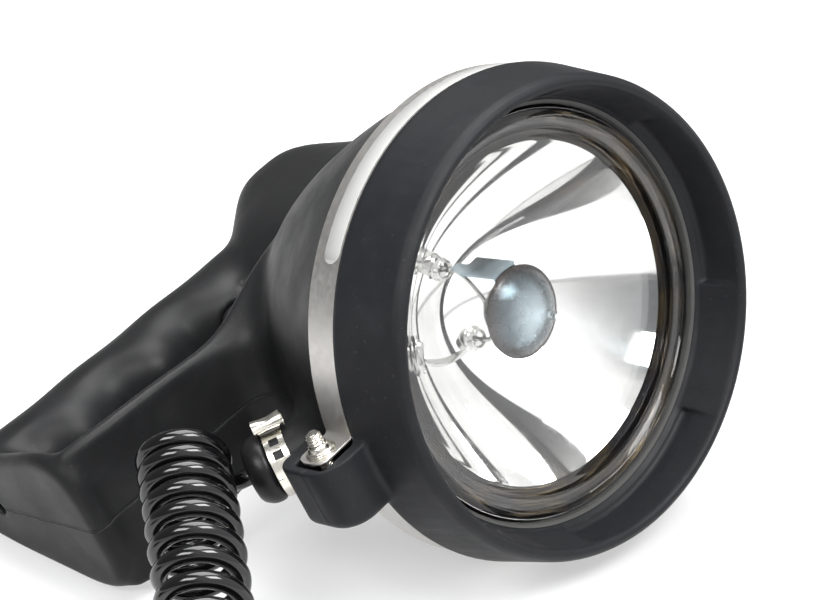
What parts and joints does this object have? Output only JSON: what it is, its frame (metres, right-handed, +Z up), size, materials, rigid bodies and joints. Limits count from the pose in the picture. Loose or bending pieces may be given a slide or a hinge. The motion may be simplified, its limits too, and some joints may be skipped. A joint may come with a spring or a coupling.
{
  "type": "hand-held search lamp",
  "caption": "Hand-held sealed-beam search lamp with a moulded rubber housing and hood, steel clamp band, guarded trigger grip and a coiled supply lead with a plug.",
  "frame": {"origin": "centre of the lamp (without its free lead) on the surface it lies on", "axes": "+Z up with the lamp lying on its side; +X along the level direction of the beam, out of the lens; +Y from the foot of the handle towards the top of the lamp"},
  "size_m": [0.2637, 0.4036, 0.1751],
  "materials": {
    "rubber_hood": "satin moulded rubber",
    "rubber_housing": "satin moulded rubber with a fine grain",
    "stainless": "satin",
    "label_white": "satin, blank",
    "rubber_seal": "matte",
    "clear_glass": "clear polished",
    "silver_mirror": "vacuum-coated mirror",
    "nickel_wire": "bright",
    "tungsten": "dull",
    "pearl_metal": "pearl blue-grey, satin",
    "brass_terminal": "bright",
    "tinned_lug": "tinned",
    "wire_insulation": "smooth",
    "black_plastic": "fine matte",
    "rubber_boot": "soft satin",
    "stainless_clip": "satin",
    "cord_black": "glossy",
    "trigger_rubber": "satin",
    "spring_steel": "bright",
    "zinc_steel": "zinc plated"
  },
  "bodies": {
    "lamp": {"front_hood": "rubber_hood", "rear_housing": "rubber_housing", "clamp_band": "stainless", "rating_label": "label_white", "clamp_screw": "stainless", "clamp_nut": "stainless", "clamp_washers": "stainless", "lamp_gasket": "rubber_seal", "retaining_ring": "stainless", "lamp_lens": "clear_glass", "lamp_reflector": "silver_mirror", "lead_posts": "nickel_wire", "lead_ferrules": "nickel_wire", "filament": "tungsten", "filament_shield": "pearl_metal", "shield_bracket": "nickel_wire", "lamp_terminals": "brass_terminal", "terminal_screws": "brass_terminal", "terminal_lugs": "tinned_lug", "supply_wires": "wire_insulation", "cable_stop": "black_plastic", "cable_boot": "rubber_boot", "hose_clamp": "stainless_clip", "hose_clamp_ear": "stainless_clip", "cord_lead": "cord_black", "trigger_collar": "black_plastic", "trigger_spring": "spring_steel", "switch_body": "black_plastic", "switch_bracket": "zinc_steel", "switch_screws": "zinc_steel", "switch_wires": "wire_insulation", "cord_coil": "cord_black", "cord_tail": "cord_black", "plug_boot": "rubber_boot", "plug_body": "black_plastic", "plug_pins": "brass_terminal"},
    "trigger": {"trigger_button": "trigger_rubber"}
  },
  "joints": [
    {"name": "trigger_press", "type": "slide", "parent": "lamp", "child": "trigger", "axis": [-0.9819, 0, -0.1894], "range_m": [0, 0.003], "stiffness_N_per_m": 1500, "springref_m": -0.002}
  ]
}
